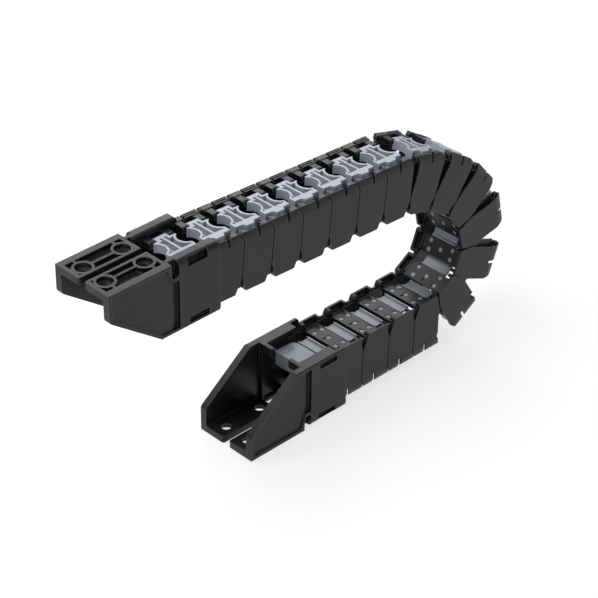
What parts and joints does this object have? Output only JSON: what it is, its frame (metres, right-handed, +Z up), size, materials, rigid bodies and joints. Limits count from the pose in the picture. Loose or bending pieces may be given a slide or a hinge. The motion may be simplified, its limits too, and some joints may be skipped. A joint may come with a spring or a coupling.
{
  "type": "cable drag chain",
  "caption": "Hinged cable carrier bent in a U, with openable snap-in bars on the outer side, drilled inner plates and a ribbed mounting bracket at each end.",
  "frame": {"origin": "centre of the fixed bracket's bolt pattern, on its mounting face", "axes": "+X along the chain from the fixed bracket to the bend, +Y to the far side, +Z up, away from the surface that the fixed bracket is bolted to"},
  "size_m": [0.2826, 0.0388, 0.1458],
  "materials": {
    "link": "satin",
    "bracket": "satin",
    "bar": "satin",
    "tie": "satin"
  },
  "bodies": {
    "fixed_bracket": {"bracket_fixed_far": "bracket", "bracket_fixed_near": "bracket", "tie_fixed": "tie"},
    "moving_bracket": {"bracket_moving_far": "bracket", "bracket_moving_near": "bracket", "tie_moving": "tie"},
    "link_01": {"link_01": "link"},
    "link_02": {"link_02": "link"},
    "link_03": {"link_03": "link"},
    "link_04": {"link_04": "link"},
    "link_05": {"link_05": "link"},
    "link_06": {"link_06": "link"},
    "link_07": {"link_07": "link"},
    "link_08": {"link_08": "link"},
    "link_09": {"link_09": "link"},
    "link_10": {"link_10": "link"},
    "link_11": {"link_11": "link"},
    "link_12": {"link_12": "link"},
    "link_13": {"link_13": "link"},
    "link_14": {"link_14": "link"},
    "link_15": {"link_15": "link"},
    "link_16": {"link_16": "link"},
    "link_17": {"link_17": "link"},
    "bar_00": {"bar_00": "bar"},
    "bar_01": {"bar_01": "bar"},
    "bar_02": {"bar_02": "bar"},
    "bar_03": {"bar_03": "bar"},
    "bar_04": {"bar_04": "bar"},
    "bar_05": {"bar_05": "bar"},
    "bar_06": {"bar_06": "bar"},
    "bar_07": {"bar_07": "bar"},
    "bar_08": {"bar_08": "bar"},
    "bar_09": {"bar_09": "bar"},
    "bar_10": {"bar_10": "bar"},
    "bar_11": {"bar_11": "bar"},
    "bar_12": {"bar_12": "bar"},
    "bar_13": {"bar_13": "bar"},
    "bar_14": {"bar_14": "bar"},
    "bar_15": {"bar_15": "bar"},
    "bar_16": {"bar_16": "bar"},
    "bar_17": {"bar_17": "bar"},
    "bar_18": {"bar_18": "bar"}
  },
  "joints": [
    {"name": "chain_hinge_00", "type": "hinge", "parent": "link_01", "child": "moving_bracket", "pos_m": [-0.04379, 0, 0.11544], "axis": [0, 1, 0], "range_deg": [-37.2, 2.8]},
    {"name": "chain_hinge_01", "type": "hinge", "parent": "link_02", "child": "link_01", "pos_m": [-0.02382, 0, 0.11446], "axis": [0, 1, 0], "range_deg": [-40, 0]},
    {"name": "chain_hinge_02", "type": "hinge", "parent": "link_03", "child": "link_02", "pos_m": [-0.00384, 0, 0.11348], "axis": [0, 1, 0], "range_deg": [-40, 0]},
    {"name": "chain_hinge_03", "type": "hinge", "parent": "link_04", "child": "link_03", "pos_m": [0.01614, 0, 0.11251], "axis": [0, 1, 0], "range_deg": [-40, 0]},
    {"name": "chain_hinge_04", "type": "hinge", "parent": "link_05", "child": "link_04", "pos_m": [0.03611, 0, 0.11153], "axis": [0, 1, 0], "range_deg": [-40, 0]},
    {"name": "chain_hinge_05", "type": "hinge", "parent": "link_06", "child": "link_05", "pos_m": [0.05609, 0, 0.11055], "axis": [0, -1, 0], "range_deg": [0, 40]},
    {"name": "chain_hinge_06", "type": "hinge", "parent": "link_07", "child": "link_06", "pos_m": [0.07606, 0, 0.10957], "axis": [0, -1, 0], "range_deg": [0, 40]},
    {"name": "chain_hinge_07", "type": "hinge", "parent": "link_08", "child": "link_07", "pos_m": [0.09604, 0, 0.1086], "axis": [0, 1, 0], "range_deg": [-27.2, 12.8]},
    {"name": "chain_hinge_08", "type": "hinge", "parent": "link_09", "child": "link_08", "pos_m": [0.1153, 0, 0.10322], "axis": [0, -1, 0], "range_deg": [-16.9, 23.1]},
    {"name": "chain_hinge_09", "type": "hinge", "parent": "link_10", "child": "link_09", "pos_m": [0.13217, 0, 0.09247], "axis": [0, 1, 0], "range_deg": [-23.3, 16.7]},
    {"name": "chain_hinge_10", "type": "hinge", "parent": "link_11", "child": "link_10", "pos_m": [0.14524, 0, 0.07733], "axis": [0, -1, 0], "range_deg": [-28.5, 11.5]},
    {"name": "chain_hinge_11", "type": "hinge", "parent": "link_12", "child": "link_11", "pos_m": [0.1495, 0, 0.05779], "axis": [0, 1, 0], "range_deg": [-6.5, 33.5]},
    {"name": "chain_hinge_12", "type": "hinge", "parent": "link_13", "child": "link_12", "pos_m": [0.14227, 0, 0.03915], "axis": [0, 1, 0], "range_deg": [-3.7, 36.3]},
    {"name": "chain_hinge_13", "type": "hinge", "parent": "link_14", "child": "link_13", "pos_m": [0.1254, 0, 0.0284], "axis": [0, -1, 0], "range_deg": [-32.5, 7.5]},
    {"name": "chain_hinge_14", "type": "hinge", "parent": "link_15", "child": "link_14", "pos_m": [0.1054, 0, 0.0284], "axis": [0, -1, 0], "range_deg": [0, 40]},
    {"name": "chain_hinge_15", "type": "hinge", "parent": "link_16", "child": "link_15", "pos_m": [0.0854, 0, 0.0284], "axis": [0, -1, 0], "range_deg": [0, 40]},
    {"name": "chain_hinge_16", "type": "hinge", "parent": "link_17", "child": "link_16", "pos_m": [0.0654, 0, 0.0284], "axis": [0, -1, 0], "range_deg": [0, 40]},
    {"name": "chain_hinge_17", "type": "hinge", "parent": "fixed_bracket", "child": "link_17", "pos_m": [0.0454, 0, 0.0284], "axis": [0, -1, 0], "range_deg": [0, 40]},
    {"name": "bar_hinge_00", "type": "hinge", "parent": "moving_bracket", "child": "bar_00", "pos_m": [-0.05379, 0.0078, 0.13834], "axis": [-1, 0, 0], "range_deg": [0, 90]},
    {"name": "bar_hinge_01", "type": "hinge", "parent": "link_01", "child": "bar_01", "pos_m": [-0.03269, 0.0078, 0.13782], "axis": [-0.9988, 0, 0.0488], "range_deg": [0, 90]},
    {"name": "bar_hinge_02", "type": "hinge", "parent": "link_02", "child": "bar_02", "pos_m": [-0.01271, 0.0078, 0.13684], "axis": [-0.9988, 0, 0.0488], "range_deg": [0, 90]},
    {"name": "bar_hinge_03", "type": "hinge", "parent": "link_03", "child": "bar_03", "pos_m": [0.00727, 0.0078, 0.13587], "axis": [-0.9988, 0, 0.0488], "range_deg": [0, 90]},
    {"name": "bar_hinge_04", "type": "hinge", "parent": "link_04", "child": "bar_04", "pos_m": [0.02724, 0.0078, 0.13489], "axis": [-0.9988, 0, 0.0488], "range_deg": [0, 90]},
    {"name": "bar_hinge_05", "type": "hinge", "parent": "link_05", "child": "bar_05", "pos_m": [0.04722, 0.0078, 0.13391], "axis": [-0.9988, 0, 0.0488], "range_deg": [0, 90]},
    {"name": "bar_hinge_06", "type": "hinge", "parent": "link_06", "child": "bar_06", "pos_m": [0.06719, 0.0078, 0.13294], "axis": [-0.9988, 0, 0.0488], "range_deg": [0, 90]},
    {"name": "bar_hinge_07", "type": "hinge", "parent": "link_07", "child": "bar_07", "pos_m": [0.08717, 0.0078, 0.13196], "axis": [-0.9988, 0, 0.0488], "range_deg": [0, 90]},
    {"name": "bar_hinge_08", "type": "hinge", "parent": "link_08", "child": "bar_08", "pos_m": [0.11183, 0.0078, 0.12796], "axis": [-0.9632, 0, 0.2689], "range_deg": [0, 90]},
    {"name": "bar_hinge_09", "type": "hinge", "parent": "link_09", "child": "bar_09", "pos_m": [0.13604, 0.0078, 0.11716], "axis": [-0.8434, 0, 0.5373], "range_deg": [0, 90]},
    {"name": "bar_hinge_10", "type": "hinge", "parent": "link_10", "child": "bar_10", "pos_m": [0.15604, 0.0078, 0.09987], "axis": [-0.6534, 0, 0.757], "range_deg": [0, 90]},
    {"name": "bar_hinge_11", "type": "hinge", "parent": "link_11", "child": "bar_11", "pos_m": [0.16974, 0.0078, 0.07244], "axis": [-0.213, 0, 0.977], "range_deg": [0, 90]},
    {"name": "bar_hinge_12", "type": "hinge", "parent": "link_12", "child": "bar_12", "pos_m": [0.16723, 0.0078, 0.04019], "axis": [0.3616, 0, 0.9323], "range_deg": [0, 90]},
    {"name": "bar_hinge_13", "type": "hinge", "parent": "link_13", "child": "bar_13", "pos_m": [0.14614, 0.0078, 0.01446], "axis": [0.8434, 0, 0.5373], "range_deg": [0, 90]},
    {"name": "bar_hinge_14", "type": "hinge", "parent": "link_14", "child": "bar_14", "pos_m": [0.1154, 0.0078, 0.0055], "axis": [1, 0, 0], "range_deg": [0, 90]},
    {"name": "bar_hinge_15", "type": "hinge", "parent": "link_15", "child": "bar_15", "pos_m": [0.0954, 0.0078, 0.0055], "axis": [1, 0, 0], "range_deg": [0, 90]},
    {"name": "bar_hinge_16", "type": "hinge", "parent": "link_16", "child": "bar_16", "pos_m": [0.0754, 0.0078, 0.0055], "axis": [1, 0, 0], "range_deg": [0, 90]},
    {"name": "bar_hinge_17", "type": "hinge", "parent": "link_17", "child": "bar_17", "pos_m": [0.0554, 0.0078, 0.0055], "axis": [1, 0, 0], "range_deg": [0, 90]},
    {"name": "bar_hinge_18", "type": "hinge", "parent": "fixed_bracket", "child": "bar_18", "pos_m": [0.0354, 0.0078, 0.0055], "axis": [-1, 0, 0], "range_deg": [-90, 0]}
  ]
}
